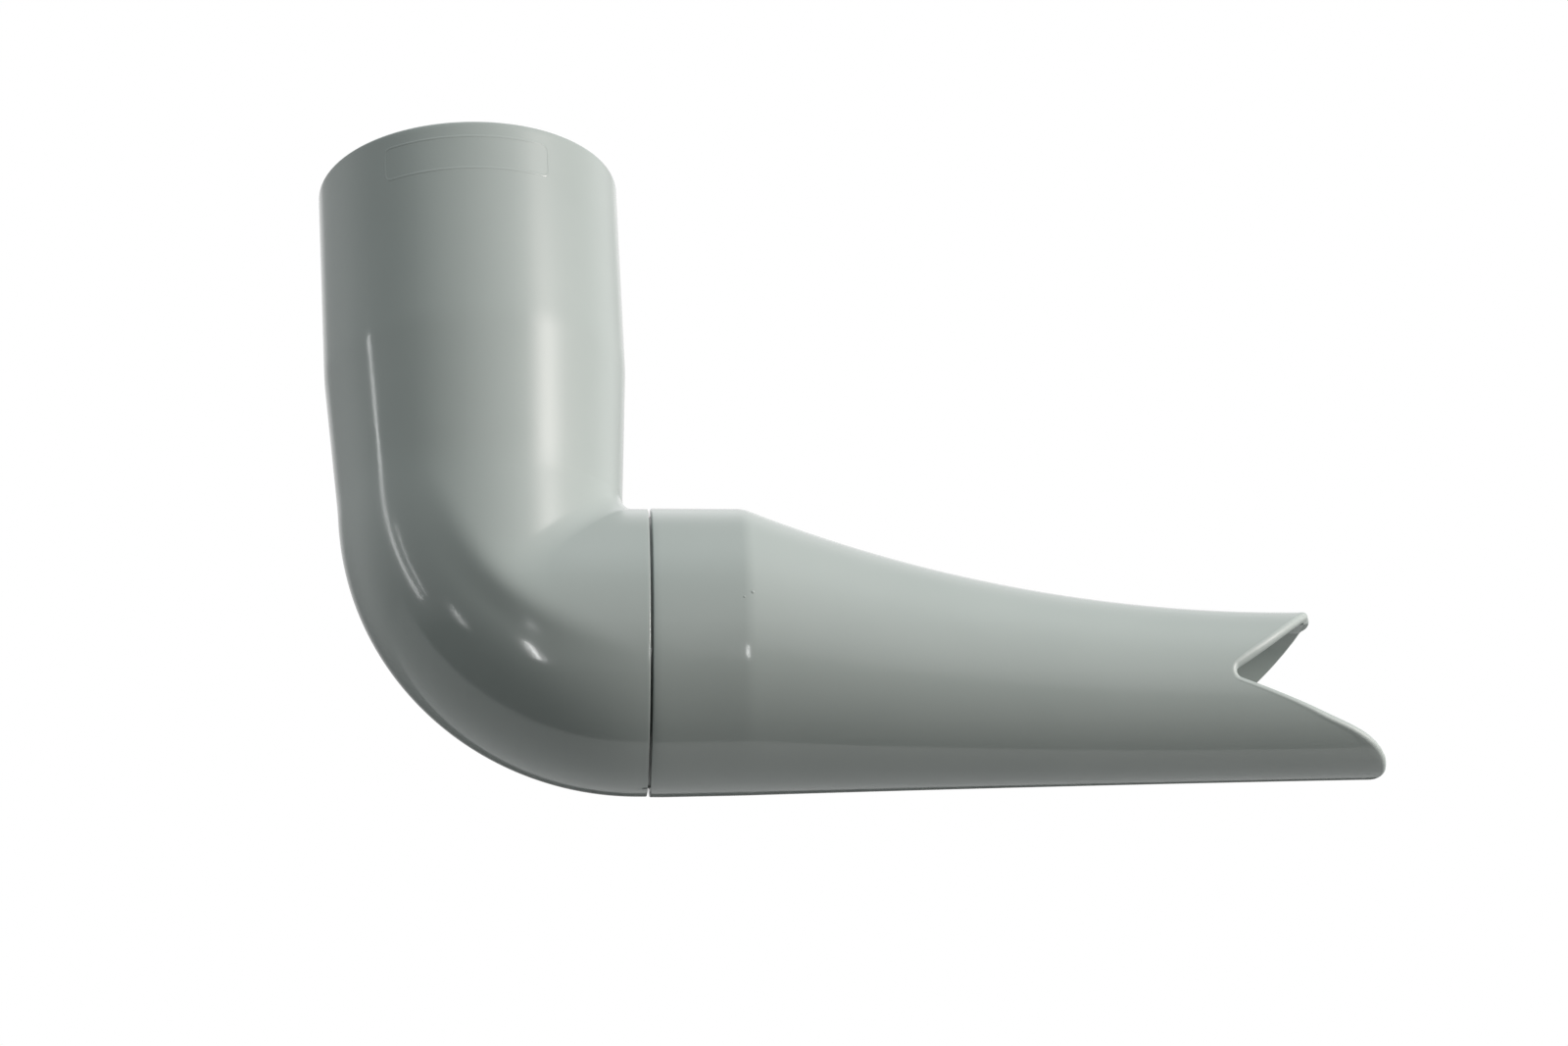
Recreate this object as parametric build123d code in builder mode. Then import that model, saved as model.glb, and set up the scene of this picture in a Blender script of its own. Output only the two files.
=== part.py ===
# Rainwater outlet: an 87 degree pipe elbow with a tapering fish-mouth spout pushed over its spigot.
# Millimetres. The origin is the centre of the socket's mouth, +Z points up out of the socket, and the
# spout runs off along +X, three degrees below the horizontal.

import os
from math import cos, hypot, radians, sin, sqrt, tan

from build123d import *

# Pipe that the socket takes, and the play between push-fit pieces
pipe_diameter = 53.0
socket_play = 0.15
spigot_play = 0.15
joint_gap = 0.45
spigot_end_gap = 0.3

# Elbow socket, from its rim at z = 0 downwards
socket_depth = 38.0
stop_cover = 1.7
socket_wall = 1.85
rim_wall = 2.25
rim_outer_round = 0.6
rim_inner_round = 0.5
stop_width = 1.05
taper_round = 60.0

# Elbow leg and bend, a shade thinner than the collar that follows it
taper_length = 27.94
bend_angle = 87.0
corner_radius = 2.85
body_step = 0.1
body_wall = 2.4
end_straight = 1.84
shoulder_round = 0.4

# Elbow spigot, hidden in the spout's collar
spigot_wall = 1.55
neck_length = 4.2
spigot_lead = 0.8
spigot_chamfer = 0.4

# Spout collar, as thick as the pipe
collar_length = 16.16
collar_wall = 1.5
bore_setback = 0.33
collar_edge_round = 0.3
belly_start = 3.0

# Spout tube: the back sweeps down in one long hollow arc, and the belly rises at a slight angle
spout_wall = 2.0
back_round = 6.0
back_low_setback = 6.6
back_low_height = 7.1
belly_rise = 1.17

# Fish-mouth end, measured along the spout from the joint and up from the collar's axis
upper_lip_reach = 123.6
lower_lip_overhang = 11.8
notch_depth = 17.9
notch_lowering = 1.02
notch_round = 1.2
upper_lip_sag = 0.9
upper_tip_round = 3.0
lower_tip_round = 3.0
lip_round = 1.4

# Sections that the lofts of the spout pass through
round_sections = 5
back_sections = 9

# Derived sizes
socket_bore = pipe_diameter / 2 + socket_play
socket_end_radius = socket_bore + socket_wall
rim_radius = socket_bore + rim_wall
socket_outer_length = socket_depth + stop_cover
collar_radius = pipe_diameter / 2
body_radius = collar_radius - body_step
bore_radius = body_radius - body_wall
stop_radius = socket_bore - stop_width
bend_radius = body_radius + corner_radius
bend_tangent = bend_radius * tan(radians(bend_angle / 2))
bend_drop = socket_outer_length + taper_length
axes_drop = bend_drop + bend_tangent
seam_reach = bend_tangent + end_straight
collar_bore = collar_radius - collar_wall
spigot_radius = collar_bore - spigot_play
spigot_bore = spigot_radius - spigot_wall
shoulder_place = -joint_gap / 2
collar_place = joint_gap / 2
bore_end = collar_length - bore_setback
spigot_end = bore_end - spigot_end_gap
lower_lip_reach = upper_lip_reach + lower_lip_overhang
notch_reach = upper_lip_reach - notch_depth
tube_end = lower_lip_reach + spout_wall
cut_reach = 2 * tube_end
cut_height = 2 * collar_radius

# Directions of the spout: along its axis, and up across it
along = Vector(sin(radians(bend_angle)), 0, -cos(radians(bend_angle)))
across = Vector(cos(radians(bend_angle)), 0, sin(radians(bend_angle)))
joint_centre = Vector(0, 0, -axes_drop) + along * seam_reach
side_plane = Plane(origin=joint_centre, x_dir=along, z_dir=(0, -1, 0))


def section_plane(place):
    """Plane square to the spout's axis, `place` mm past the joint, with its x axis pointing up."""
    return Plane(origin=joint_centre + along * place, x_dir=across, z_dir=along)


# Where the back leaves the collar: a small round that touches the collar line and the long arc
round_start = collar_length
back_low_place = upper_lip_reach - back_low_setback
round_offset = back_low_place - round_start
back_drop = collar_radius - back_low_height
back_radius = (round_offset**2 + back_drop**2) / (2 * back_drop) - back_round
back_centre_height = back_low_height + back_radius
round_centre_height = collar_radius - back_round
round_end = back_low_place - round_offset * back_radius / (back_radius + back_round)


def back_height(place):
    """Height of the spout's back over the collar's axis."""
    if place <= round_start:
        return collar_radius
    if place <= round_end:
        return round_centre_height + sqrt(back_round**2 - (place - round_start) ** 2)
    return back_centre_height - sqrt(back_radius**2 - (place - back_low_place) ** 2)


def belly_height(place):
    """Height of the spout's belly, below the collar's axis."""
    return -collar_radius + tan(radians(belly_rise)) * max(0.0, place - belly_start)


def middle_height(place):
    """Height of the middle of the spout's round section."""
    return (back_height(place) + belly_height(place)) / 2


def spout_circle(place, inset):
    """Round section of the spout between back and belly, drawn `inset` mm inside its outer skin."""
    radius = back_height(place) - middle_height(place) - inset
    with BuildSketch(section_plane(place)) as section:
        with Locations((middle_height(place), 0)):
            Circle(radius)
    return section.sketch


def on_outer_lip(edge):
    """Whether an edge runs along the outer side of the fish mouth's lip."""
    for share in (0, 0.5, 1):
        point = side_plane.to_local_coords(edge @ share)
        middle = middle_height(point.X)
        depth = back_height(point.X) - middle - hypot(point.Y - middle, point.Z)
        if point.X < notch_reach or abs(depth) > spout_wall / 4:
            return False
    return True


def spaced(first, last, count):
    """Evenly spaced places from first to last, both included."""
    return [first + (last - first) * step / (count - 1) for step in range(count)]


def corner_at(sketch, x, y):
    """Corner of a sketch that lies nearest to a point of its own plane."""
    return sketch.vertices().sort_by_distance((x, y, 0))[0]


# Elbow: socket and leg turned round Z, bend turned round the corner, and the stepped end
with BuildPart() as elbow:
    with BuildSketch(Plane.XZ) as leg_profile:
        with BuildLine():
            Polyline(
                (socket_bore, 0),
                (rim_radius, 0),
                (socket_end_radius, -socket_outer_length),
                (body_radius, -bend_drop),
                (bore_radius, -bend_drop),
                (stop_radius, -socket_depth),
                (socket_bore, -socket_depth),
                close=True,
            )
        make_face()
        fillet(corner_at(leg_profile, socket_bore, 0), radius=rim_inner_round)
        fillet(corner_at(leg_profile, rim_radius, 0), radius=rim_outer_round)
        fillet(corner_at(leg_profile, socket_end_radius, -socket_outer_length), radius=taper_round)
    revolve(axis=Axis.Z)

    with BuildSketch(Plane.XY.offset(-bend_drop)):
        Circle(body_radius)
        Circle(bore_radius, mode=Mode.SUBTRACT)
    revolve(axis=Axis((bend_radius, 0, -bend_drop), (0, -1, 0)), revolution_arc=bend_angle)

    with BuildSketch(side_plane) as end_profile:
        with BuildLine():
            Polyline(
                (-end_straight, bore_radius),
                (-end_straight, body_radius),
                (shoulder_place, body_radius),
                (shoulder_place, spigot_radius),
                (spigot_end - spigot_lead, spigot_radius),
                (spigot_end, spigot_radius - spigot_chamfer),
                (spigot_end, spigot_bore),
                (neck_length - end_straight, spigot_bore),
                close=True,
            )
        make_face()
        fillet(corner_at(end_profile, shoulder_place, body_radius), radius=shoulder_round)
    revolve(axis=Axis(joint_centre, along))

elbow.part.label = "elbow"

# Spout: collar, round over its end, long hollow back, bored through and cut to a fish mouth
with BuildPart() as spout:
    with BuildSketch(section_plane(collar_place)):
        Circle(collar_radius)
    extrude(amount=belly_start - collar_place)
    loft([spout_circle(place, 0) for place in (belly_start, round_start)], ruled=True)
    loft([spout_circle(place, 0) for place in spaced(round_start, round_end, round_sections)])
    loft([spout_circle(place, 0) for place in spaced(round_end, tube_end, back_sections)])

    collar_edge = spout.edges().filter_by(GeomType.CIRCLE).sort_by(Axis.X)[0]
    fillet(collar_edge, radius=collar_edge_round)

    with BuildSketch(section_plane(collar_place)):
        Circle(collar_bore)
    extrude(amount=bore_end - collar_place, mode=Mode.SUBTRACT)
    loft(
        [spout_circle(place, spout_wall) for place in (bore_end, round_start)],
        ruled=True,
        mode=Mode.SUBTRACT,
    )
    loft(
        [spout_circle(place, spout_wall) for place in spaced(round_start, round_end, round_sections)],
        mode=Mode.SUBTRACT,
    )
    loft(
        [spout_circle(place, spout_wall) for place in spaced(round_end, tube_end, back_sections)],
        mode=Mode.SUBTRACT,
    )

    notch_height = middle_height(notch_reach) - notch_lowering
    upper_lip = (upper_lip_reach, back_height(upper_lip_reach) - spout_wall)
    lower_lip = (lower_lip_reach, belly_height(lower_lip_reach) + spout_wall)
    with BuildSketch(side_plane) as mouth_cut:
        with BuildLine():
            SagittaArc((notch_reach, notch_height), upper_lip, -upper_lip_sag)
            Polyline(
                upper_lip,
                (upper_lip_reach, collar_radius),
                (cut_reach, collar_radius),
                (cut_reach, -cut_height),
                (lower_lip_reach, -cut_height),
                lower_lip,
                (notch_reach, notch_height),
            )
        make_face()
        fillet(corner_at(mouth_cut, notch_reach, notch_height), radius=notch_round)
        fillet(corner_at(mouth_cut, *upper_lip), radius=upper_tip_round)
        fillet(corner_at(mouth_cut, *lower_lip), radius=lower_tip_round)
    extrude(amount=cut_height, both=True, mode=Mode.SUBTRACT)
    lip_edges = spout.edges().filter_by(on_outer_lip).sort_by(Axis.X)
    fillet(lip_edges, radius=lip_round)

spout.part.label = "spout"

os.makedirs("parts", exist_ok=True)
export_step(elbow.part, "parts/elbow.step")
export_step(spout.part, "parts/spout.step")
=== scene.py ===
"""Looks of a rainwater outlet in grey moulded plastic: a socketed elbow and its fish-mouth spout.

Shapes are worked out in millimetres in the frame of the CAD model, and stored in metres. The studio
is laid out in metres, with its lens in millimetres. Angles given as fields are in degrees.
"""

import logging
from dataclasses import dataclass
from enum import Enum
from math import cos, pi, radians, sin, tan

import bmesh
import bpy
import numpy as np
from mathutils import Matrix, Quaternion, Vector


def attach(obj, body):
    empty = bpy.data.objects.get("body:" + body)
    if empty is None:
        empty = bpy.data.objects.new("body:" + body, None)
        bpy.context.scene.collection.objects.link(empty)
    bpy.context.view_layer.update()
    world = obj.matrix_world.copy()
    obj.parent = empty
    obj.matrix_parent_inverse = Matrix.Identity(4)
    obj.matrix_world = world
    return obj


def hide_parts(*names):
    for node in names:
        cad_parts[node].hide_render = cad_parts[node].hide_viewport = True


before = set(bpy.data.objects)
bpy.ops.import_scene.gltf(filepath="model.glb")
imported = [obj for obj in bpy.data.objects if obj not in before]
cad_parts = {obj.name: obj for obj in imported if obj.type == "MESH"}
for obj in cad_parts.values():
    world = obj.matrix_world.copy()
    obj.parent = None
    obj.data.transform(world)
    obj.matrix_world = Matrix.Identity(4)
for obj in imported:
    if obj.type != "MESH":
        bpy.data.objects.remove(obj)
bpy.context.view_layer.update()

MILLIMETRE = 0.001
BODY = "root"

# Colours of light
NEUTRAL = (1.0, 1.0, 1.0)
WARM = (1.05, 0.99, 0.96)
COOL = (0.93, 1.02, 1.04)

log = logging.getLogger("outlet")


class Slot(Enum):
    """Material slots that the record names."""

    GREY_PLASTIC = "grey_plastic"


class CadNode(Enum):
    """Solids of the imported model."""

    ELBOW = "elbow"
    SPOUT = "spout"


def unit(vectors: np.ndarray) -> np.ndarray:
    """Vectors of length one: each divided by the root of its summed squares."""
    return vectors / np.linalg.norm(vectors, axis=-1, keepdims=True)


def corner_arc(
    corner: np.ndarray, first: np.ndarray, second: np.ndarray, radius: np.ndarray, steps: int
) -> np.ndarray:
    """Arcs that round corners, one for each corner.

    With h half the angle between the two unit directions and b their bisector, the centre lies
    radius / sin h along b, and the arc runs from -(90 - h) to +(90 - h) degrees on either side of -b.

    Args:
        corner: Corner points, shape (n, d).
        first: Unit directions from each corner back along the first side, shape (n, d).
        second: Unit directions from each corner on along the second side, shape (n, d).
        radius: Radius of each arc, shape (n,).
        steps: Points on each arc.

    Returns:
        Points of shape (steps, n, d), from the first side to the second.
    """
    half = np.arccos(np.clip((first * second).sum(-1), -1, 1)) / 2
    bisector = unit(first + second)
    side = unit(second - first)
    centre = corner + bisector * (radius / np.sin(half))[:, None]
    turn = np.linspace(-1, 1, steps)[:, None] * (pi / 2 - half)[None, :]
    reach = radius[None, :, None]
    back = bisector[None] * np.cos(turn)[..., None] * reach
    aside = side[None] * np.sin(turn)[..., None] * reach
    return centre[None] - back + aside


def rounded(corners: np.ndarray, radii: np.ndarray, steps: int) -> np.ndarray:
    """Closed flat outline whose corners are rounded.

    Args:
        corners: Corner points in order, shape (n, 2).
        radii: Radius at each corner, shape (n,).
        steps: Points on each rounded corner.

    Returns:
        Outline points in order, shape (n * steps, 2).
    """
    first = unit(np.roll(corners, 1, axis=0) - corners)
    second = unit(np.roll(corners, -1, axis=0) - corners)
    arcs = corner_arc(corners, first, second, radii, steps)
    return arcs.transpose(1, 0, 2).reshape(-1, 2)


def refined(outline: np.ndarray, step: float, weight: np.ndarray | float = 1.0) -> np.ndarray:
    """Closed outline with points added on its long sides.

    Its length, each side times its weight, is cut at regular steps. Each cut nearer to an old point
    than a third of a step is left out, and both coordinates are interpolated along the length.

    Args:
        outline: Points in order, shape (n, 2).
        step: Distance between added points where the weight is one.
        weight: Weight of the side that follows each point, shape (n,), or one for all.

    Returns:
        Points in order, shape (m, 2).
    """
    closed = np.vstack([outline, outline[:1]])
    length = np.concatenate([[0], np.cumsum(weight * np.linalg.norm(np.diff(closed, axis=0), axis=1))])
    regular = np.arange(0, length[-1], step)
    apart = np.abs(regular[:, None] - length[None, :]).min(axis=1) > step / 3
    places = np.unique(np.concatenate([length[:-1], regular[apart]]))
    return np.stack([np.interp(places, length, closed[:, axis]) for axis in range(2)], axis=-1)


def bell(angle: np.ndarray, middle: float, width: float) -> np.ndarray:
    """Curve e^(-d^2), d the angle from the top less the middle, over the width (both in degrees)."""
    return np.exp(-(((np.abs(angle) - radians(middle)) / radians(width)) ** 2))


def rings(place: np.ndarray, radius: np.ndarray | float, angle: np.ndarray) -> np.ndarray:
    """Circles about the axis, as (place, radius * cos angle, radius * sin angle)."""
    parts = np.broadcast_arrays(place, radius * np.cos(angle), radius * np.sin(angle))
    return np.stack(parts, axis=-1)


def in_scene(name: str, data: bpy.types.ID) -> bpy.types.Object:
    """New object in the scene.

    Args:
        name: Name of the object.
        data: Its mesh, lamp or camera.

    Returns:
        The object, at the origin.
    """
    item = bpy.data.objects.new(name, data)
    bpy.context.scene.collection.objects.link(item)
    return item


def closed_mesh(name: str, points: np.ndarray, sharp: float) -> bpy.types.Object:
    """Mesh object from a grid of points that closes on itself along both of its axes.

    Each point joins the next in its row, the one above that and the one above itself in a face of
    four sides. With a to d a face's corners, the sum of a . (b x c + c x d) is six times the volume
    inside. If it is negative the faces point inwards, and are turned round.

    Args:
        name: Name of the piece.
        points: Points in millimetres, shape (rows, columns, 3).
        sharp: Angle in degrees past which an edge is shaded as sharp.

    Returns:
        The new object, at the origin.
    """
    rows, columns = points.shape[:2]
    here = np.arange(rows * columns).reshape(rows, columns)
    beside = np.roll(here, -1, axis=1)
    above = np.roll(here, -1, axis=0)
    quads = np.stack([here, beside, np.roll(above, -1, axis=1), above], axis=-1).reshape(-1, 4)
    vertices = points.reshape(-1, 3) * MILLIMETRE
    a, b, c, d = (vertices[quads[:, corner]] for corner in range(4))
    volume = (a * (np.cross(b, c) + np.cross(c, d))).sum()
    quads = quads if volume > 0 else quads[:, ::-1]
    mesh = bpy.data.meshes.new(name)
    mesh.vertices.add(len(vertices))
    mesh.vertices.foreach_set("co", vertices.ravel())
    mesh.loops.add(quads.size)
    mesh.loops.foreach_set("vertex_index", np.ascontiguousarray(quads).ravel())
    mesh.polygons.add(len(quads))
    mesh.polygons.foreach_set("loop_start", np.arange(0, quads.size, 4))
    mesh.polygons.foreach_set("use_smooth", np.ones(len(quads), bool))
    mesh.update(calc_edges=True)
    mesh.set_sharp_from_angle(angle=radians(sharp))
    return in_scene(name, mesh)


def dress(
    piece: bpy.types.Object, materials: list[bpy.types.Material], node: CadNode | None = None
) -> None:
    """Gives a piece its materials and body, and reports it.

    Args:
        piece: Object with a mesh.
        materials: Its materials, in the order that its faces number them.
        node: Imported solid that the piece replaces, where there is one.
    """
    for material in materials:
        piece.data.materials.append(material)
    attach(piece, BODY)
    if node is not None:
        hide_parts(node.value)
    log.info("%s: %d faces", piece.name, len(piece.data.polygons))


class Graph:
    """Node tree with short ways to add nodes and join them."""

    def __init__(self, tree: bpy.types.NodeTree) -> None:
        """Empties the tree of a material or of the world."""
        self.tree = tree
        tree.nodes.clear()

    def add(self, kind: str, options: dict[str, object] | None = None, **inputs: object) -> bpy.types.Node:
        """Adds a node and fills its inputs.

        Args:
            kind: Type name of the node, without its ShaderNode prefix.
            options: Settings of the node.
            inputs: Value or output socket for each input, under its name in small letters with
                underscores, or under "input_" and its number.

        Returns:
            The new node.
        """
        node = self.tree.nodes.new("ShaderNode" + kind)
        for option, value in (options or {}).items():
            setattr(node, option, value)
        for name, value in inputs.items():
            socket = self.socket(node, name)
            if isinstance(value, bpy.types.NodeSocket):
                self.tree.links.new(value, socket)
            else:
                socket.default_value = value
        return node

    def socket(self, node: bpy.types.Node, name: str) -> bpy.types.NodeSocket:
        """Input socket of a node, by number or by name.

        Args:
            node: The node.
            name: "input_" and a number, or the socket's name in small letters with underscores.

        Returns:
            The socket.
        """
        if name.startswith("input_"):
            return node.inputs[int(name.removeprefix("input_"))]
        return next(s for s in node.inputs if s.name.lower().replace(" ", "_") == name and s.enabled)

    def math(self, operation: str, first: object, second: object) -> bpy.types.NodeSocket:
        """Result of one sum on two values or sockets."""
        return self.add("Math", {"operation": operation}, input_0=first, input_1=second).outputs[0]

    def vector(self, operation: str, first: object, second: object) -> bpy.types.NodeSocket:
        """Result of one sum on two vectors, or on a vector and the factor that scales it.

        Args:
            operation: Name of the operation.
            first: Vector or socket.
            second: Vector, factor or socket.

        Returns:
            Output socket, which for a dot product holds a value and not a vector.
        """
        inputs = {"input_0": first, "input_3" if operation == "SCALE" else "input_1": second}
        output = "Value" if operation == "DOT_PRODUCT" else "Vector"
        return self.add("VectorMath", {"operation": operation}, **inputs).outputs[output]

    def span(
        self, value: object, low: float, high: float, to_low: float, to_high: float
    ) -> bpy.types.NodeSocket:
        """Value moved smoothly from one span to another, and held inside it.

        Args:
            value: Socket to change.
            low: Start of the old span.
            high: End of the old span.
            to_low: Start of the new span.
            to_high: End of the new span.

        Returns:
            Output socket.
        """
        options = {"interpolation_type": "SMOOTHSTEP"}
        limits = {"input_1": low, "input_2": high, "input_3": to_low, "input_4": to_high}
        return self.add("MapRange", options, input_0=value, **limits).outputs[0]


def blank_material(name: str) -> tuple[bpy.types.Material, Graph]:
    """New material with an empty node tree.

    Args:
        name: Name of the material.

    Returns:
        The material and its graph.
    """
    material = bpy.data.materials.new(name)
    material.use_nodes = True
    return material, Graph(material.node_tree)


@dataclass(frozen=True)
class MouldedPlastic:
    """Grey pipe plastic as it leaves the mould: satin, faintly uneven, with fine handling marks.

    Scales are in waves per metre, the peel's height in metres and the scuffs' turn in radians.
    """

    name: str = "grey_moulded_plastic"
    colour: tuple[float, float, float, float] = (0.31, 0.353, 0.338, 1.0)
    pale: tuple[float, float, float, float] = (0.345, 0.388, 0.372, 1.0)
    roughness_low: float = 0.1
    roughness_high: float = 0.15
    ior: float = 1.53
    cloud_scale: float = 45.0
    cloud_low: float = 0.3
    cloud_high: float = 0.7
    peel_scale: float = 620.0
    grain_scale: float = 2600.0
    scuff_scale: float = 95.0
    scuff_stretch: tuple[float, float, float] = (0.35, 1.0, 7.0)
    scuff_turn: tuple[float, float, float] = (0.2, 0.5, 0.15)
    scuff_low: float = 0.68
    scuff_high: float = 0.8
    scuff_roughness: float = 0.05
    grain_share: float = 0.25
    peel_height: float = 0.000012
    peel_strength: float = 0.55
    detail: float = 3.0
    fine_detail: float = 1.0

    def noise(self, graph: Graph, where: object, scale: float, detail: float) -> bpy.types.NodeSocket:
        """Soft noise between 0 and 1, with the scale in waves per metre."""
        return graph.add("TexNoise", vector=where, scale=scale, detail=detail).outputs[0]

    def material(self) -> bpy.types.Material:
        """Builds the material: clouds tint it, scuffs dull it, and moulding peel and grain lift it.

        Returns:
            The new material.
        """
        material, graph = blank_material(self.name)
        where = graph.add("TexCoord").outputs["Object"]
        clouds = self.noise(graph, where, self.cloud_scale, self.detail)
        tint = graph.add(
            "Mix", {"data_type": "RGBA"}, input_0=clouds, input_6=self.colour, input_7=self.pale
        ).outputs[2]
        turned = graph.add(
            "Mapping", vector=where, rotation=self.scuff_turn, scale=self.scuff_stretch
        ).outputs[0]
        streaks = self.noise(graph, turned, self.scuff_scale, self.detail)
        scuffs = graph.span(streaks, self.scuff_low, self.scuff_high, 0.0, self.scuff_roughness)
        sheen = graph.span(clouds, self.cloud_low, self.cloud_high, self.roughness_low, self.roughness_high)
        peel = self.noise(graph, where, self.peel_scale, self.fine_detail)
        grain = self.noise(graph, where, self.grain_scale, self.fine_detail)
        relief = graph.math("ADD", peel, graph.math("MULTIPLY", grain, self.grain_share))
        bump = graph.add(
            "Bump", strength=self.peel_strength, distance=self.peel_height, height=relief
        ).outputs[0]
        shader = graph.add(
            "BsdfPrincipled",
            base_color=tint,
            roughness=graph.math("ADD", sheen, scuffs),
            ior=self.ior,
            normal=bump,
        )
        graph.add("OutputMaterial", surface=shader.outputs[0])
        return material


@dataclass(frozen=True)
class TrimmedPlastic(MouldedPlastic):
    """The same plastic on the spout's trimmed lip, which is duller and has a deeper peel."""

    name: str = "grey_trimmed_plastic"
    roughness_low: float = 0.42
    roughness_high: float = 0.5
    peel_height: float = 0.00003


@dataclass(frozen=True)
class PaleFloor:
    """Plain pale finish of the studio's floor."""

    name: str = "pale_floor"
    colour: tuple[float, float, float, float] = (0.62, 0.62, 0.62, 1.0)
    roughness: float = 0.7

    def material(self) -> bpy.types.Material:
        """Builds the material, with one colour all over.

        Returns:
            The new material.
        """
        material, graph = blank_material(self.name)
        shader = graph.add("BsdfPrincipled", roughness=self.roughness, base_color=self.colour)
        graph.add("OutputMaterial", surface=shader.outputs[0])
        return material


@dataclass(frozen=True)
class Centreline:
    """Axis of the fitting in the plane y = 0: down the leg, round the bend, out along the spout.

    A station is a distance along it from the socket's mouth. The heel of the bend turns round the
    bend's centre. Its inner side is two straight runs that meet in a small round, like a mitre. The
    crease fades out between two angles from the inner side.
    """

    axes_drop: float = 95.397
    bend_angle: float = 87.0
    bend_radius: float = 29.25
    body_radius: float = 26.4
    crease_round: float = 3.6
    seam_reach: float = 29.597
    crease_fade: float = 64.0
    heel_start: float = 116.0

    @property
    def turn(self) -> float:
        """Angle of the bend in radians."""
        return radians(self.bend_angle)

    @property
    def tangent(self) -> float:
        """Distance from the axes' crossing to either end of the bend."""
        return self.bend_radius * tan(self.turn / 2)

    @property
    def leg_end(self) -> float:
        """Station at which the bend starts."""
        return self.axes_drop - self.tangent

    @property
    def bend_end(self) -> float:
        """Station at which the bend ends."""
        return self.leg_end + self.bend_radius * self.turn

    @property
    def joint(self) -> float:
        """Station of the joint between the two pieces."""
        return self.bend_end + self.seam_reach - self.tangent

    def straight(self, height: np.ndarray, side: np.ndarray) -> np.ndarray:
        """Reach of the straight runs of a line along the bend.

        At angle a from the inner side it is the bend's radius less the crease's round and less the
        body's radius times cos a, which leaves each line the same small round. It fades to nothing
        where the heel starts, with the smooth step 3 t^2 - 2 t^3, so that a line there is one arc
        round the bend's centre.

        Args:
            height: Distances from the axis towards the bend's centre.
            side: Distances along y.

        Returns:
            Reaches, each a length along the mitre times the cosine of half the turn.
        """
        angle = np.arctan2(np.abs(side), height)
        fade = radians(self.heel_start - self.crease_fade)
        share = np.clip((angle - radians(self.crease_fade)) / fade, 0, 1)
        reach = self.bend_radius - self.crease_round - self.body_radius * np.cos(angle)
        return (1 - share**2 * (3 - 2 * share)) * np.maximum(reach, 0)

    def point(self, station: np.ndarray, height: np.ndarray, side: np.ndarray) -> np.ndarray:
        """Points beside the centreline.

        On the bend each line runs straight for g tan h, then on an arc of radius R - height - g,
        then straight again, with g its straight reach, R the bend's radius and h half the turn.
        With d the distance along it from its middle, u the arc's part of d over the arc's radius
        and e the straight rest, the point lies g / cos h + radius * cos u - e sin h from the bend's
        centre along the mitre, and radius * sin u + e cos h across it.

        Args:
            station: Distances along the centreline.
            height: Distances from it towards the bend's centre, and above the axis of the spout.
            side: Distances along y.

        Returns:
            Points with a last axis of three.
        """
        station, height, side = np.broadcast_arrays(station, height, side)
        on_bend = np.clip(station, self.leg_end, self.bend_end)
        share = (on_bend - self.leg_end) / (self.bend_end - self.leg_end)
        half = self.turn / 2
        straight = self.straight(height, side)
        arc = self.bend_radius - height - straight
        place = (2 * share - 1) * (straight * tan(half) + arc * half)
        turned = np.clip(place / arc, -half, half)
        rest = place - turned * arc
        outward = straight / cos(half) + arc * np.cos(turned) - np.abs(rest) * sin(half)
        across = arc * np.sin(turned) + rest * cos(half)
        onward = station - on_bend
        x = self.bend_radius - outward * cos(half) + across * sin(half) + onward * np.sin(share * self.turn)
        z = -self.leg_end - outward * sin(half) - across * cos(half) - onward * np.cos(share * self.turn)
        return np.stack([x, side, z], axis=-1)


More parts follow.
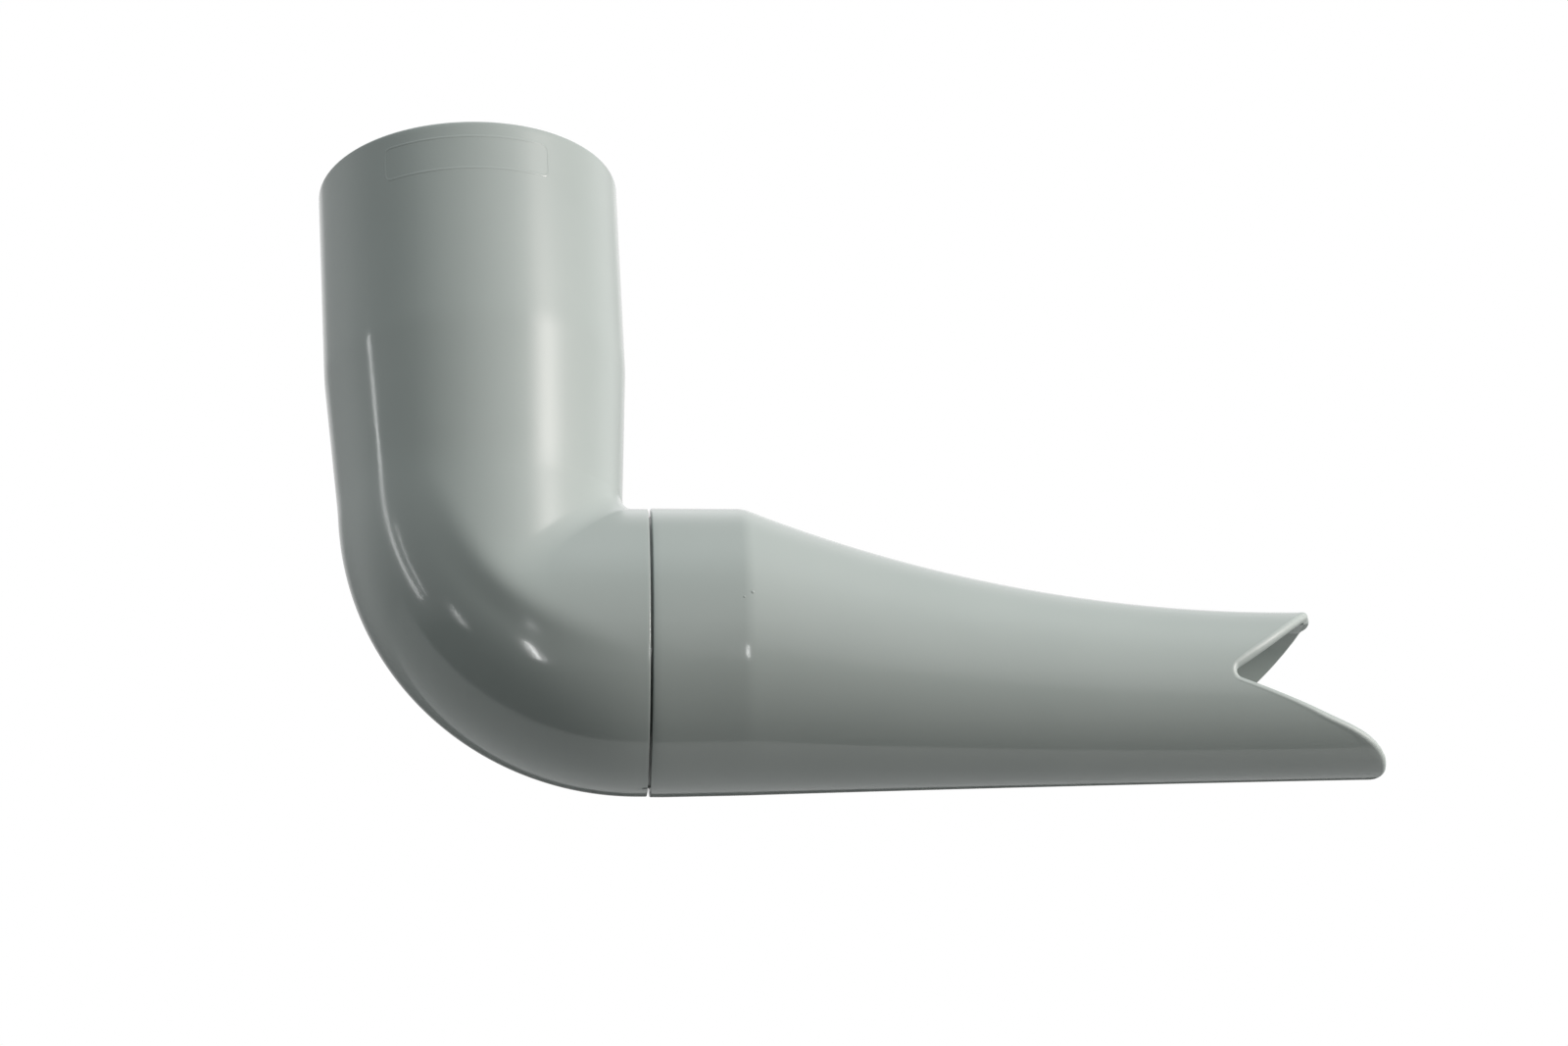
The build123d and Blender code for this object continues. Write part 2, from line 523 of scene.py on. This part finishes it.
@dataclass
class Elbow:
    """Socket, tapering leg, tight bend, and the stepped spigot that the spout hides."""

    line: Centreline = Centreline()
    name: str = "elbow_shell"
    columns: int = 212
    row_step: float = 1.2
    bend_density: float = 2.4
    corner_steps: int = 6
    sharp_angle: float = 40.0
    socket_bore: float = 26.65
    socket_depth: float = 38.0
    socket_outer_length: float = 39.7
    socket_end_radius: float = 28.5
    rim_radius: float = 28.9
    rim_outer_round: float = 0.6
    rim_inner_round: float = 0.5
    taper_round: float = 60.0
    body_round: float = 90.0
    bore_round: float = 12.0
    stop_radius: float = 25.6
    bore_radius: float = 24.0
    shoulder_gap: float = 0.225
    shoulder_round: float = 0.2
    spigot_radius: float = 24.85
    spigot_tip_radius: float = 24.45
    spigot_bore: float = 23.3
    spigot_end: float = 15.53
    spigot_lead: float = 0.8
    neck_length: float = 4.2
    fine_round: float = 0.12

    def outline(self) -> np.ndarray:
        """Closed outline of the wall, rounded corner by corner.

        It runs down the outside to the spigot's tip and back up the bore. Points stand closer
        together on the bend.

        Returns:
            Points as (station, radius), shape (n, 2).
        """
        joint, bend_end, leg_end = self.line.joint, self.line.bend_end, self.line.leg_end
        shoulder = joint - self.shoulder_gap
        tip = joint + self.spigot_end
        corners = np.array([
            (0.0, self.socket_bore, self.rim_inner_round),
            (0.0, self.rim_radius, self.rim_outer_round),
            (self.socket_outer_length, self.socket_end_radius, self.taper_round),
            (leg_end, self.line.body_radius, self.body_round),
            (shoulder, self.line.body_radius, self.shoulder_round),
            (shoulder, self.spigot_radius, self.fine_round),
            (tip - self.spigot_lead, self.spigot_radius, self.fine_round),
            (tip, self.spigot_tip_radius, self.fine_round),
            (tip, self.spigot_bore, self.fine_round),
            (bend_end + self.neck_length, self.spigot_bore, self.bore_round),
            (bend_end, self.bore_radius, self.bore_round),
            (leg_end, self.bore_radius, self.bore_round),
            (self.socket_depth, self.stop_radius, self.fine_round),
            (self.socket_depth, self.socket_bore, self.fine_round),
        ])
        even = refined(rounded(corners[:, :2], corners[:, 2], self.corner_steps), self.row_step)
        on_bend = (even[:, 0] >= leg_end) & (even[:, 0] < bend_end)
        return refined(even, self.row_step, np.where(on_bend, self.bend_density, 1.0))

    def build(self, material: bpy.types.Material) -> None:
        """Carries the outline round the centreline and dresses the piece.

        A point at (station, radius) and angle a stands radius * cos a inward and radius * sin a
        along y from the centreline.

        Args:
            material: Finish of the piece.
        """
        outline = self.outline()
        angle = np.linspace(0, 2 * pi, self.columns, endpoint=False)[None, :]
        station, radius = outline[:, :1], outline[:, 1:]
        points = self.line.point(station, radius * np.cos(angle), radius * np.sin(angle))
        dress(closed_mesh(self.name, points, self.sharp_angle), [material], CadNode.ELBOW)


@dataclass
class MarkBorder:
    """Fine raised line that frames a plain panel near the socket's rim.

    Lengths run round the socket from -Y towards +X, heights along Z from the rim.
    """

    elbow: Elbow
    name: str = "socket_mark_border"
    middle: tuple[float, float] = (0.2, -6.65)
    half_length: float = 16.1
    half_height: float = 3.35
    corner_round: float = 1.3
    line_half_width: float = 0.24
    line_height: float = 0.035
    buried_share: float = 3.0
    corner_steps: int = 10
    path_step: float = 0.4
    section_steps: int = 12
    sharp_angle: float = 60.0

    def path(self) -> np.ndarray:
        """Middle of the line, a rectangle with rounded corners.

        Returns:
            Points as (length round the socket, height), shape (n, 2).
        """
        signs = np.array([(-1.0, -1.0), (1.0, -1.0), (1.0, 1.0), (-1.0, 1.0)])
        corners = np.array(self.middle) + signs * (self.half_length, self.half_height)
        radii = np.full(len(corners), self.corner_round)
        return refined(rounded(corners, radii, self.corner_steps), self.path_step)

    def build(self, material: bpy.types.Material) -> None:
        """Carries a flat oval round the path and wraps it on the socket.

        At angle t of the oval the line's half width times cos t is added square to the path, and
        its height times sin t to the radius, the lower half deeper so that it is sunk in the wall.
        The wall's radius goes in a straight line from the rim's to that of the socket's end. A
        length s round the socket is the angle s over the rim's radius.

        Args:
            material: Finish of the piece.
        """
        path = self.path()
        along = unit(np.roll(path, -1, axis=0) - np.roll(path, 1, axis=0))
        outward = np.stack([along[:, 1], -along[:, 0]], axis=-1)
        turn = np.linspace(0, 2 * pi, self.section_steps, endpoint=False)[None, :]
        flat = path[:, None] + outward[:, None] * (self.line_half_width * np.cos(turn))[..., None]
        lift = self.line_height * np.sin(turn) * np.where(np.sin(turn) < 0, self.buried_share, 1.0)
        taper = self.elbow.socket_end_radius - self.elbow.rim_radius
        wall = self.elbow.rim_radius + taper * -flat[..., 1] / self.elbow.socket_outer_length
        angle = flat[..., 0] / self.elbow.rim_radius
        radius = wall + lift
        points = np.stack([radius * np.sin(angle), -radius * np.cos(angle), flat[..., 1]], axis=-1)
        dress(closed_mesh(self.name, points, self.sharp_angle), [material])


@dataclass
class Spout:
    """Collar and long tapering tube with a hollow back, cut to a fish mouth with a rounded lip.

    Places are measured along the spout from the joint, heights up from the collar's axis.
    """

    line: Centreline = Centreline()
    name: str = "spout_shell"
    columns: int = 480
    sharp_angle: float = 38.0
    collar_place: float = 0.225
    collar_radius: float = 26.5
    collar_bore: float = 25.0
    collar_bore_depth: float = 15.605
    collar_length: float = 16.16
    collar_edge_round: float = 0.3
    belly_start: float = 3.0
    belly_rise: float = 1.17
    wall: float = 2.0
    back_round: float = 6.0
    back_low_place: float = 117.0
    back_low_height: float = 7.1
    upper_lip_reach: float = 124.2
    lower_lip_reach: float = 141.2
    lower_lip_inset: float = 0.55
    notch_reach: float = 104.4
    notch_lowering: float = 1.02
    notch_round: float = 1.2
    upper_lip_sag: float = 0.9
    upper_tip_round: float = 1.0
    lower_tip_round: float = 20.0
    lip_round: float = 1.5
    lip_dip: float = 0.5
    lip_dip_angle: float = 108.0
    lip_dip_width: float = 22.0
    lip_share: float = 0.7
    lip_steps: int = 11
    mouth_start: float = 88.0
    collar_rows: int = 15
    shoulder_rows: int = 30
    tube_rows: int = 68
    mouth_rows: int = 34
    mouth_ease: float = 6.0
    inner_rows: int = 30
    bore_rows: int = 3
    edge_steps: int = 5
    sag_steps: int = 12
    sag_smooth: float = 15.0
    round_steps: int = 16
    angle_samples: int = 3841
    notch_angle: float = 93.7
    dense_width: float = 9.0
    dense_gain: float = 2.2
    search_steps: int = 44
    slope_step: float = 0.01

    @property
    def round_offset(self) -> float:
        """Distance from the start of the back's small round to the low point of its long arc."""
        return self.back_low_place - self.collar_length

    @property
    def back_radius(self) -> float:
        """Radius of the long arc, which is level at its low point and touches the small round."""
        drop = self.collar_radius - self.back_low_height
        return (self.round_offset**2 + drop**2) / (2 * drop) - self.back_round

    @property
    def notch_height(self) -> float:
        """Height of the notch: a little under the middle of the tube."""
        return float(self.middle(self.notch_reach)) - self.notch_lowering

    def back(self, place: np.ndarray | float) -> np.ndarray:
        """Height of the back.

        It is the collar's radius, then the root of the small round's squares about a centre below
        it, then the long arc's centre less the root of its squares.

        Args:
            place: Places along the spout.

        Returns:
            Heights.
        """
        start = self.collar_length
        reach = self.back_radius + self.back_round
        end = self.back_low_place - self.round_offset * self.back_radius / reach
        round_rise = np.sqrt(np.maximum(self.back_round**2 - (place - start) ** 2, 0))
        arc_drop = np.sqrt(self.back_radius**2 - (place - self.back_low_place) ** 2)
        on_round = self.collar_radius - self.back_round + round_rise
        on_arc = self.back_low_height + self.back_radius - arc_drop
        beyond = np.where(place <= end, on_round, on_arc)
        return np.where(place <= start, self.collar_radius, beyond)

    def belly(self, place: np.ndarray | float) -> np.ndarray:
        """Height of the belly, which rises in a straight line from just past the joint."""
        return -self.collar_radius + tan(radians(self.belly_rise)) * np.maximum(place - self.belly_start, 0)

    def middle(self, place: np.ndarray | float) -> np.ndarray:
        """Height of the middle of the round section: half of back plus belly."""
        return (self.back(place) + self.belly(place)) / 2

    def skin(self, place: np.ndarray | float, angle: np.ndarray | float, inset: float) -> np.ndarray:
        """Points of a round skin between back and belly, as (place, height, side).

        Its radius is half of back less belly, less the inset. Height is the section's middle plus
        the radius times cos angle, side the radius times sin angle.

        Args:
            place: Places along the spout.
            angle: Angles round it from the top.
            inset: Depth below the outer skin.

        Returns:
            Points with a last axis of three.
        """
        place, angle = np.broadcast_arrays(place, angle)
        radius = (self.back(place) - self.belly(place)) / 2 - inset
        height = self.middle(place) + radius * np.cos(angle)
        return np.stack([place, height, radius * np.sin(angle)], axis=-1)

    def mouth_outline(self) -> np.ndarray:
        """Side view of the mouth's cut, from above the back to below the belly.

        The upper flank is an arc that sags from its chord by a parabola, which at this depth is
        within a hundredth of a millimetre of the circle. The lower flank is straight, and turns
        down over a long round to the lower lip.

        Returns:
            Points as (place, height), shape (n, 2).
        """
        notch = np.array([self.notch_reach, self.notch_height])
        upper = np.array([self.upper_lip_reach, self.back(self.upper_lip_reach)])
        lower = np.array([self.lower_lip_reach, self.belly(self.lower_lip_reach) + self.lower_lip_inset])
        share = np.linspace(0, 1, self.sag_steps)[1:-1, None]
        chord = upper - notch
        across = unit(np.array([chord[1], -chord[0]]))
        flank = upper - share * chord + 4 * share * (1 - share) * self.upper_lip_sag * across
        above = upper + [0, self.collar_radius]
        below = lower - [0, self.collar_radius]
        far = 2 * self.lower_lip_reach
        away = np.array([[far, below[1]], [far, above[1]]])
        corners = np.vstack([above, upper, flank, notch, lower, below, away])
        # Rounds of the corner above and the upper lip, of the flank, of the notch, and of the rest
        rounds = (self.upper_tip_round, self.sag_smooth, self.notch_round, self.lower_tip_round)
        radii = np.repeat(rounds, (2, len(flank), 1, 2 + len(away)))
        steps = self.round_steps
        below_corner = len(corners) - len(away) - 1
        return rounded(corners, radii, steps)[steps // 2 : below_corner * steps + steps // 2]

    def cut_place(self, height: np.ndarray) -> np.ndarray:
        """Place of the mouth's cut at each height, interpolated on its outline."""
        outline = self.mouth_outline()[::-1]
        return np.interp(height, outline[:, 1], outline[:, 0])

    def edge(self, angle: np.ndarray, inset: float) -> np.ndarray:
        """Places where a skin meets the cut, found by halving the span between two bounds.

        Args:
            angle: Angles round the spout.
            inset: Depth of the skin.

        Returns:
            Places along the spout.
        """
        low = np.full(angle.shape, self.mouth_start)
        high = np.full(angle.shape, self.lower_lip_reach + self.wall)
        for _ in range(self.search_steps):
            middle = (low + high) / 2
            inside = middle < self.cut_place(self.skin(middle, angle, inset)[..., 1])
            low, high = np.where(inside, middle, low), np.where(inside, high, middle)
        return (low + high) / 2

    def angles(self) -> np.ndarray:
        """Angles round the spout, closer together near the notches on both sides.

        The count grows with one plus a bell curve round each notch. Its running sum, scaled to a
        full turn, is turned round by interpolation.

        Returns:
            Angles from the top, shape (columns,).
        """
        fine = np.linspace(-pi, pi, self.angle_samples)
        dense = bell(fine[1:], self.notch_angle, self.dense_width)
        count = np.concatenate([[0], np.cumsum(1 + self.dense_gain * dense)])
        return np.interp(np.linspace(0, count[-1], self.columns, endpoint=False), count, fine)

    def lip(self, angle: np.ndarray) -> tuple[np.ndarray, np.ndarray]:
        """Rounded lip between the outer skin and the cut's face.

        Each normal, less its share along the other, gives the direction in one face away from the
        edge. The corner between the two directions is rounded. The radius dips along a bell curve
        round the start of the lower flank, and stays so small that the arc ends short of the inner
        edge.

        Args:
            angle: Angles round the spout.

        Returns:
            Lip points of shape (steps, columns, 3), and the inner edge of shape (columns, 3).
        """
        place = self.edge(angle, 0.0)
        corner = self.skin(place, angle, 0.0)
        inner = self.skin(self.edge(angle, self.wall), angle, self.wall)
        step = self.slope_step
        onward = self.skin(place + step, angle, 0.0) - self.skin(place - step, angle, 0.0)
        around = self.skin(place, angle + step, 0.0) - self.skin(place, angle - step, 0.0)
        skin_normal = unit(np.cross(around, onward))
        slope = (self.cut_place(corner[:, 1] + step) - self.cut_place(corner[:, 1] - step)) / (2 * step)
        cut_normal = unit(np.stack([np.ones_like(slope), -slope, np.zeros_like(slope)], axis=-1))
        shared = (skin_normal * cut_normal).sum(-1, keepdims=True)
        on_skin = unit(shared * skin_normal - cut_normal)
        on_cut = unit(shared * cut_normal - skin_normal)
        half = np.arccos(np.clip((on_skin * on_cut).sum(-1), -1, 1)) / 2
        width = ((inner - corner) * on_cut).sum(-1)
        dip = self.lip_dip * bell(angle, self.lip_dip_angle, self.lip_dip_width)
        radius = np.minimum(self.lip_round * (1 - dip), self.lip_share * width * np.tan(half))
        return corner_arc(corner, on_skin, on_cut, radius, self.lip_steps), inner

    def collar_edge(self, angle: np.ndarray) -> np.ndarray:
        """Quarter round between the collar's face and its outside.

        At angle t the place is the face's plus the round times 1 - sin t, and the radius is the
        collar's less the round times 1 - cos t.

        Args:
            angle: Angles round the spout.

        Returns:
            Rows of (place, height, side).
        """
        turn = np.linspace(0, pi / 2, self.edge_steps)[::-1, None]
        place = self.collar_place + self.collar_edge_round * (1 - np.sin(turn))
        radius = self.collar_radius - self.collar_edge_round * (1 - np.cos(turn))
        return rings(place, radius, angle)

    def outer_skin(self, angle: np.ndarray) -> np.ndarray:
        """Outside of the collar, of the small round and of the tube up to the mouth's rows.

        Args:
            angle: Angles round the spout.

        Returns:
            Rows of (place, height, side).
        """
        start = self.collar_length
        end = self.collar_length + self.back_round
        collar = np.linspace(self.collar_place + self.collar_edge_round, start, self.collar_rows)[1:-1]
        shoulder = np.linspace(start, end, self.shoulder_rows)[:-1]
        tube = np.linspace(end, self.mouth_start, self.tube_rows)[:-1]
        return self.skin(np.concatenate([collar, shoulder, tube])[:, None], angle[None, :], 0.0)

    def mouth_skin(self, angle: np.ndarray, lip_start: np.ndarray) -> np.ndarray:
        """Outside of the tube from there to the lip.

        A row's places are the same share of the way to the lip. Each angle drifts, by a power of
        that share, from the grid's own to the one at which the lip starts.

        Args:
            angle: Angles round the spout.
            lip_start: First row of the lip, shape (columns, 3).

        Returns:
            Rows of (place, height, side).
        """
        height = lip_start[:, 1] - self.middle(lip_start[:, 0])
        drift = (np.arctan2(lip_start[:, 2], height) - angle + pi) % (2 * pi) - pi
        share = np.linspace(0, 1, self.mouth_rows)[:-1, None]
        place = self.mouth_start + share * (lip_start[:, 0] - self.mouth_start)
        return self.skin(place, angle + drift * share**self.mouth_ease, 0.0)

    def inner_skin(self, angle: np.ndarray, inner_edge: np.ndarray) -> np.ndarray:
        """Inside of the tube from the lip back to the collar's bore, then the bore to its face.

        Args:
            angle: Angles round the spout.
            inner_edge: Inner edge of the lip, shape (columns, 3).

        Returns:
            Rows of (place, height, side).
        """
        bore_end = self.collar_place + self.collar_bore_depth
        share = np.linspace(1, 0, self.inner_rows)[1:, None]
        tube = self.skin(bore_end + share * (inner_edge[:, 0] - bore_end), angle, self.wall)
        bore_place = np.linspace(bore_end, self.collar_place, self.bore_rows)[:, None]
        return np.concatenate([tube, rings(bore_place, self.collar_bore, angle)])

    def rows(self) -> tuple[np.ndarray, int]:
        """Closed grid over the outside, round the lip and back through the inside.

        Returns:
            Points as (place, height, side), shape (rows, columns, 3), and the lip's first row.
        """
        angle = self.angles()
        lip, inner_edge = self.lip(angle)
        mouth = self.mouth_skin(angle, lip[0])
        outside = np.concatenate([self.collar_edge(angle), self.outer_skin(angle), mouth])
        inside = self.inner_skin(angle, inner_edge)
        return np.concatenate([outside, lip, inner_edge[None], inside]), len(outside)

    def placed(self, points: np.ndarray) -> np.ndarray:
        """Points given as (place, height, side), set beside the centreline."""
        return self.line.point(self.line.joint + points[..., 0], points[..., 1], points[..., 2])

    def build(self, material: bpy.types.Material, trimmed: bpy.types.Material) -> None:
        """Places the grid beside the centreline and dresses the piece.

        Args:
            material: Finish of the piece.
            trimmed: Finish of its lip.
        """
        rows, lip_row = self.rows()
        piece = closed_mesh(self.name, self.placed(rows), self.sharp_angle)
        dress(piece, [material, trimmed], CadNode.SPOUT)
        row = np.arange(len(piece.data.polygons)) // self.columns
        on_lip = (row >= lip_row) & (row < lip_row + self.lip_steps)
        piece.data.polygons.foreach_set("material_index", on_lip)


@dataclass
class Speck:
    """Low grain of plastic at the skin of the spout or of the elbow's end, as moulding leaves it."""

    name: str
    place: float
    angle: float
    radius: float
    height: float
    detail: int = 3

    def build(self, spout: Spout, material: bpy.types.Material) -> None:
        """Sets a flattened ball about a point of the skin, with its short axis square to it.

        Args:
            spout: Spout whose skin, or the collar's cylinder carried on before it, has the point.
            material: Finish of the piece.
        """
        ends = [spout.skin(self.place, radians(self.angle), inset) for inset in (0.0, -self.height)]
        foot, tip = spout.placed(np.stack(ends))
        upright = Vector(tip - foot).to_track_quat("Z", "Y").to_matrix().to_4x4()
        squash = Matrix.Diagonal((self.radius, self.radius, self.height, 1.0))
        place = Matrix.Scale(MILLIMETRE, 4) @ Matrix.Translation(Vector(foot)) @ upright @ squash
        mesh = bpy.data.meshes.new(self.name)
        ball = bmesh.new()
        bmesh.ops.create_icosphere(ball, subdivisions=self.detail, radius=1.0, matrix=place)
        ball.to_mesh(mesh)
        ball.free()
        mesh.polygons.foreach_set("use_smooth", np.ones(len(mesh.polygons), bool))
        dress(in_scene(self.name, mesh), [material])


SPECKS = (
    Speck("speck_upper", 17.8, -87.3, 0.3, 0.12),
    Speck("speck_lower", 16.3, -89.6, 0.2, 0.08),
    Speck("seam_flash", -0.75, -180.0, 0.5, 0.04),
)


def facing(azimuth: float, elevation: float) -> Vector:
    """Unit direction at two angles in degrees, from the front, -Y, towards +X, and upwards."""
    turn, rise = radians(azimuth), radians(elevation)
    return Vector((sin(turn) * cos(rise), -cos(turn) * cos(rise), sin(rise)))


@dataclass(frozen=True)
class Softbox:
    """Rectangular lamp that faces the fitting, or one that only the gloss shows."""

    name: str
    azimuth: float
    elevation: float
    distance: float
    width: float
    height: float
    power: float
    gloss_only: bool = False
    roll: float = 0.0
    colour: tuple[float, float, float] = NEUTRAL

    def build(self, target: Vector) -> None:
        """Hangs the lamp at its angles and turns it to the target.

        Args:
            target: Point that it faces, in metres.
        """
        lamp = bpy.data.lights.new(self.name, "AREA")
        lamp.shape = "RECTANGLE"
        lamp.size = self.width
        lamp.size_y = self.height
        lamp.energy = self.power
        lamp.color = self.colour
        outward = facing(self.azimuth, self.elevation)
        turned = outward.to_track_quat("Z", "Y") @ Quaternion((0, 0, 1), radians(self.roll))
        holder = in_scene(self.name, lamp)
        holder.location = target + outward * self.distance
        holder.rotation_euler = turned.to_euler()
        holder.visible_diffuse = not self.gloss_only


@dataclass(frozen=True)
class SkyPatch:
    """Soft round patch of light in the surroundings, brightest in its middle."""

    azimuth: float
    elevation: float
    strength: float
    tightness: float = 11.0
    colour: tuple[float, float, float] = NEUTRAL

    def light(self, graph: Graph, direction: bpy.types.NodeSocket) -> bpy.types.NodeSocket:
        """Colour times strength times e^(t * (c - 1)), with t the tightness.

        Here c is the cosine of the angle between the direction and the patch's middle.

        Args:
            graph: Tree of the world.
            direction: Socket with the unit direction that is looked along.

        Returns:
            Output socket.
        """
        cosine = graph.vector("DOT_PRODUCT", direction, facing(self.azimuth, self.elevation))
        power = graph.math("MULTIPLY", graph.math("SUBTRACT", cosine, 1.0), self.tightness)
        strength = graph.math("MULTIPLY", graph.math("EXPONENT", power, 0.0), self.strength)
        return graph.vector("SCALE", self.colour, strength)


@dataclass
class Studio:
    """Camera, lamps, pale floor and white surroundings.

    Azimuths turn from the front, -Y, towards +X, and elevations are above the horizontal. The floor
    starts just behind the fitting. The surroundings are dim below the horizon, which lies a little
    under the horizontal. It and the backdrop's foot and top are upward parts of the unit direction,
    and the backdrop's edge and full white are cosines of the angle off its middle.
    """

    target: tuple[float, float, float] = (0.056514, 0.0, -0.072164)
    azimuth: float = -5.587
    elevation: float = -23.463
    roll: float = -4.707
    distance: float = 0.59073
    lens: float = 72.24
    sensor: float = 36.0
    floor_drop: float = 0.42
    floor_half: float = 3.0
    floor_front: float = 0.03
    floor_finish: PaleFloor = PaleFloor()
    horizon_low: float = -0.37
    horizon_high: float = -0.23
    dark_share: float = 0.12
    dark_level: float = 0.01
    backdrop: tuple[float, float] = (180.0, 25.0)
    backdrop_edge: float = 0.76
    backdrop_full: float = 0.96
    backdrop_foot: float = 0.02
    backdrop_top: float = 0.55
    patches: tuple[SkyPatch, ...] = (
        SkyPatch(66.0, 9.0, 2.3, colour=WARM),
        SkyPatch(56.0, 16.0, 5.0, tightness=60.0, colour=WARM),
        SkyPatch(-169.0, 53.0, 1.33),
        SkyPatch(-31.0, 57.0, 1.14, colour=COOL),
        SkyPatch(119.0, 17.0, 1.0),
        SkyPatch(54.0, 49.0, 0.91),
        SkyPatch(-104.0, 20.0, 0.67),
        SkyPatch(14.0, 1.0, 0.61),
        SkyPatch(-71.0, 6.5, 0.59),
        SkyPatch(34.0, 23.0, 0.53),
        SkyPatch(106.0, 62.0, 0.38),
        SkyPatch(-124.0, -1.0, 0.38),
        SkyPatch(139.0, 41.0, 0.3),
        SkyPatch(21.0, 78.0, 0.3),
        SkyPatch(-19.0, 14.5, 0.18),
        SkyPatch(-136.0, 35.0, 0.13),
    )
    lamps: tuple[Softbox, ...] = (
        Softbox("right_softbox", 62.0, 1.0, 0.9, 0.25, 0.25, 5.3, colour=WARM),
        Softbox("left_strip", -79.5, 6.0, 0.9, 0.032, 0.57, 0.42, gloss_only=True, roll=14.0),
        Softbox("left_strip_low", -72.0, 0.0, 0.9, 0.02, 0.32, 0.1, gloss_only=True, roll=10.0),
        Softbox("front_sparkle", -35.2, -29.0, 0.6, 0.006, 0.092, 0.12, gloss_only=True, roll=-10.0),
        Softbox("left_sparkle", -58.8, -18.0, 0.6, 0.008, 0.06, 0.035, gloss_only=True),
        Softbox("small_sparkle", 7.5, -23.5, 0.6, 0.02, 0.09, 0.12, gloss_only=True),
    )

    def camera(self) -> None:
        """Places the camera at its angles round the target and rolls it about its own axis."""
        roll = radians(self.roll)
        outward = facing(self.azimuth, self.elevation)
        level = (-outward).cross(Vector((0, 0, 1))).normalized()
        upright = level.cross(-outward)
        right = level * cos(roll) + upright * sin(roll)
        up = upright * cos(roll) - level * sin(roll)
        camera = bpy.data.cameras.new("camera")
        camera.lens = self.lens
        camera.sensor_width = self.sensor
        camera.sensor_fit = "HORIZONTAL"
        holder = in_scene("camera", camera)
        turned = Matrix((right, up, outward)).transposed().to_4x4()
        holder.matrix_world = Matrix.Translation(Vector(self.target) + outward * self.distance) @ turned
        bpy.context.scene.camera = holder

    def surroundings(self) -> None:
        """Soft patches of light, dimmed below the horizon, with white behind the fitting.

        The camera, and what shines through, see white all round. The gloss sees white only where
        the backdrop hangs, which fades in from its edge and from its foot.
        """
        world = bpy.data.worlds.new("surroundings")
        world.use_nodes = True
        bpy.context.scene.world = world
        graph = Graph(world.node_tree)
        direction = graph.add("TexCoord").outputs["Generated"]
        total = (self.dark_level,) * 3
        for patch in self.patches:
            total = graph.vector("ADD", total, patch.light(graph, direction))
        upward = graph.add("SeparateXYZ", input_0=direction).outputs[2]
        dimming = graph.span(upward, self.horizon_low, self.horizon_high, self.dark_share, 1.0)
        level = graph.vector("SCALE", total, dimming)
        behind = graph.vector("DOT_PRODUCT", direction, facing(*self.backdrop))
        across = graph.span(behind, self.backdrop_edge, self.backdrop_full, 0.0, 1.0)
        over = graph.span(upward, self.backdrop_foot, self.backdrop_top, 0.0, 1.0)
        rays = graph.add("LightPath").outputs
        hung = graph.math("MULTIPLY", rays["Is Glossy Ray"], graph.math("MULTIPLY", across, over))
        seen = graph.math("MAXIMUM", rays["Is Camera Ray"], rays["Is Transmission Ray"])
        white = graph.vector("SCALE", NEUTRAL, graph.math("MAXIMUM", hung, seen))
        light = graph.add("Background", color=graph.vector("MAXIMUM", level, white))
        graph.add("OutputWorld", surface=light.outputs[0])

    def floor(self) -> None:
        """Flat pale floor, lower than the camera, that runs back from just behind the fitting."""
        half, near = self.floor_half, self.floor_front
        level = self.target[2] - self.floor_drop
        corners = [(-half, near, level), (half, near, level), (half, half, level), (-half, half, level)]
        mesh = bpy.data.meshes.new("floor")
        mesh.from_pydata(corners, [], [(0, 1, 2, 3)])
        mesh.materials.append(self.floor_finish.material())
        in_scene("floor", mesh)

    def build(self) -> None:
        """Sets up the whole studio."""
        bpy.context.scene.view_settings.view_transform = "Standard"
        self.camera()
        self.surroundings()
        self.floor()
        for lamp in self.lamps:
            lamp.build(Vector(self.target))


def main() -> None:
    """Builds the pieces and the studio in order."""
    logging.basicConfig(level=logging.INFO, format="%(name)s %(message)s")
    moulded = MouldedPlastic().material()
    trimmed = TrimmedPlastic().material()
    elbow = Elbow()
    elbow.build(moulded)
    MarkBorder(elbow).build(moulded)
    spout = Spout()
    spout.build(moulded, trimmed)
    for speck in SPECKS:
        speck.build(spout, moulded)
    Studio().build()


if __name__ == "__main__":
    main()
